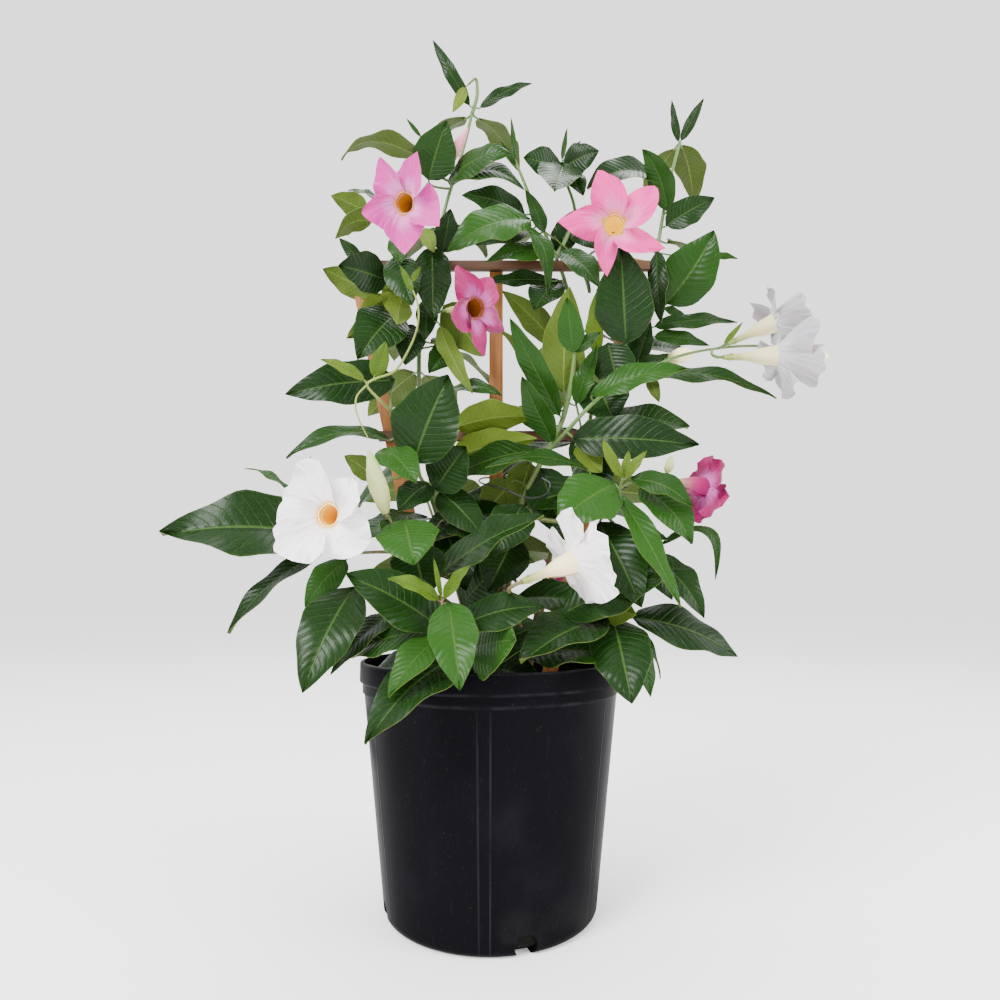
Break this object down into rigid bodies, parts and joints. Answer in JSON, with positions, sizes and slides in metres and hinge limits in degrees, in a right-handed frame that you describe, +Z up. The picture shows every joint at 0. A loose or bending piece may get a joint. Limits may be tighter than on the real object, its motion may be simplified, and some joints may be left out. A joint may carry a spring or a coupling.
{
  "type": "potted mandevilla",
  "caption": "Climbing mandevilla with trumpet blooms on a wooden fan trellis, growing in a black nursery pot of soil.",
  "frame": {"origin": "centre of the pot's underside, on the surface that it stands on", "axes": "+Z up, +Y away from the viewer of the picture, +X to the viewer's right"},
  "size_m": [0.6322, 0.3415, 0.8854],
  "materials": {
    "pot": "black moulded polypropylene, satin, lightly scuffed",
    "soil": "dark moist potting mix with bits of bark",
    "cedar": "golden brown untreated cedar strip",
    "wire": "black coated tie wire",
    "leaf": "glossy dark green leaf with sunken pinnate veins, paler below",
    "young_leaf": "soft yellow green young shoot",
    "petal_pink": "soft pink petals with a yellow to orange throat",
    "petal_rose": "deep rose petals with a brown orange throat",
    "petal_white": "white petals with a yellow to orange throat",
    "bud_green": "pale yellow green furled bud"
  },
  "bodies": {
    "root": {"bar_1": "cedar", "bar_2": "cedar", "bloom_pink_back": "petal_pink", "bloom_pink_left": "petal_pink", "bloom_pink_right": "petal_pink", "bloom_rose_back": "petal_rose", "bloom_rose_middle": "petal_rose", "bloom_rose_right": "petal_rose", "bloom_white_left": "petal_white", "bloom_white_low": "petal_white", "bloom_white_lower": "petal_white", "bloom_white_upper": "petal_white", "branch_back_left": "leaf", "branch_back_right": "leaf", "branch_front": "leaf", "branch_front_right": "leaf", "branch_left": "leaf", "branch_left_low": "leaf", "branch_mid": "leaf", "branch_right_low": "leaf", "branch_right_mid": "leaf", "bud_green_left": "bud_green", "bud_green_right": "bud_green", "bud_pink_top": "petal_pink", "bud_white_mid": "petal_white", "bud_white_right": "petal_white", "pot": "pot", "soil": "soil", "stake_left": "cedar", "stake_middle": "cedar", "stake_right": "cedar", "tie_wire": "wire", "vine_centre": "leaf", "vine_left": "leaf", "vine_right": "leaf", "young_vine": "young_leaf"}
  },
  "joints": []
}
